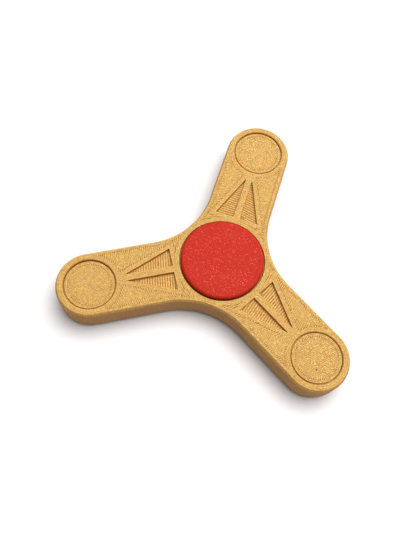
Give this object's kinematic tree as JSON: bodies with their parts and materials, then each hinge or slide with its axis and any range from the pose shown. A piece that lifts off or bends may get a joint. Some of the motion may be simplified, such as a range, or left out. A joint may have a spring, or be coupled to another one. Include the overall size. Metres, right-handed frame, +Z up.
{
  "type": "hand spinner",
  "caption": "Flat hand spinner with round-tipped arms that turns freely on a ball bearing between finger caps, with covered weights in the arm tips.",
  "frame": {"origin": "centre of the lower finger cap's resting face, on the spin axis", "axes": "+Z up along the spin axis, +Y out along arm 1, the arms follow every 120 degrees"},
  "size_m": [0.0892, 0.08, 0.0116],
  "materials": {
    "gold_print": "printed glitter plastic",
    "gold_print_cover": "printed glitter plastic",
    "red_print": "printed glitter plastic",
    "nut_steel": "zinc plated",
    "ring_steel": "ground",
    "ball_steel": "polished",
    "cage_steel": "pressed sheet",
    "shield_steel": "pressed sheet"
  },
  "bodies": {
    "holder": {"finger_cap_upper": "red_print", "finger_cap_lower": "red_print", "bearing_inner_ring": "ring_steel"},
    "rotor": {"body": "gold_print", "cover_1": "gold_print_cover", "cover_2": "gold_print_cover", "cover_3": "gold_print_cover", "weight_nut_1": "nut_steel", "weight_nut_2": "nut_steel", "weight_nut_3": "nut_steel", "bearing_outer_ring": "ring_steel", "bearing_shield_upper": "shield_steel", "bearing_shield_lower": "shield_steel"},
    "ball_cage": {"bearing_cage_upper": "cage_steel", "bearing_cage_lower": "cage_steel"},
    "ball_1": {"bearing_ball_1": "ball_steel"},
    "ball_2": {"bearing_ball_2": "ball_steel"},
    "ball_3": {"bearing_ball_3": "ball_steel"},
    "ball_4": {"bearing_ball_4": "ball_steel"},
    "ball_5": {"bearing_ball_5": "ball_steel"},
    "ball_6": {"bearing_ball_6": "ball_steel"},
    "ball_7": {"bearing_ball_7": "ball_steel"}
  },
  "joints": [
    {"name": "spin", "type": "hinge", "parent": "holder", "child": "rotor", "pos_m": [0, 0, 0.0058], "axis": [0, 0, 1], "continuous": true},
    {"name": "cage_turn", "type": "hinge", "parent": "holder", "child": "ball_cage", "pos_m": [0, 0, 0.0058], "axis": [0, 0, 1], "continuous": true},
    {"name": "ball_roll_1", "type": "hinge", "parent": "ball_cage", "child": "ball_1", "pos_m": [0.0075, 0, 0.0058], "axis": [0, 0, 1], "continuous": true},
    {"name": "ball_roll_2", "type": "hinge", "parent": "ball_cage", "child": "ball_2", "pos_m": [0.00468, 0.00586, 0.0058], "axis": [0, 0, 1], "continuous": true},
    {"name": "ball_roll_3", "type": "hinge", "parent": "ball_cage", "child": "ball_3", "pos_m": [-0.00167, 0.00731, 0.0058], "axis": [0, 0, 1], "continuous": true},
    {"name": "ball_roll_4", "type": "hinge", "parent": "ball_cage", "child": "ball_4", "pos_m": [-0.00676, 0.00325, 0.0058], "axis": [0, 0, 1], "continuous": true},
    {"name": "ball_roll_5", "type": "hinge", "parent": "ball_cage", "child": "ball_5", "pos_m": [-0.00676, -0.00325, 0.0058], "axis": [0, 0, 1], "continuous": true},
    {"name": "ball_roll_6", "type": "hinge", "parent": "ball_cage", "child": "ball_6", "pos_m": [-0.00167, -0.00731, 0.0058], "axis": [0, 0, 1], "continuous": true},
    {"name": "ball_roll_7", "type": "hinge", "parent": "ball_cage", "child": "ball_7", "pos_m": [0.00468, -0.00586, 0.0058], "axis": [0, 0, 1], "continuous": true}
  ],
  "couplings": [
    {"joint": "cage_turn", "follows": "spin", "ratio": 0.6323},
    {"joint": "ball_roll_1", "follows": "spin", "ratio": 1.7573},
    {"joint": "ball_roll_2", "follows": "spin", "ratio": 1.7573},
    {"joint": "ball_roll_3", "follows": "spin", "ratio": 1.7573},
    {"joint": "ball_roll_4", "follows": "spin", "ratio": 1.7573},
    {"joint": "ball_roll_5", "follows": "spin", "ratio": 1.7573},
    {"joint": "ball_roll_6", "follows": "spin", "ratio": 1.7573},
    {"joint": "ball_roll_7", "follows": "spin", "ratio": 1.7573}
  ]
}
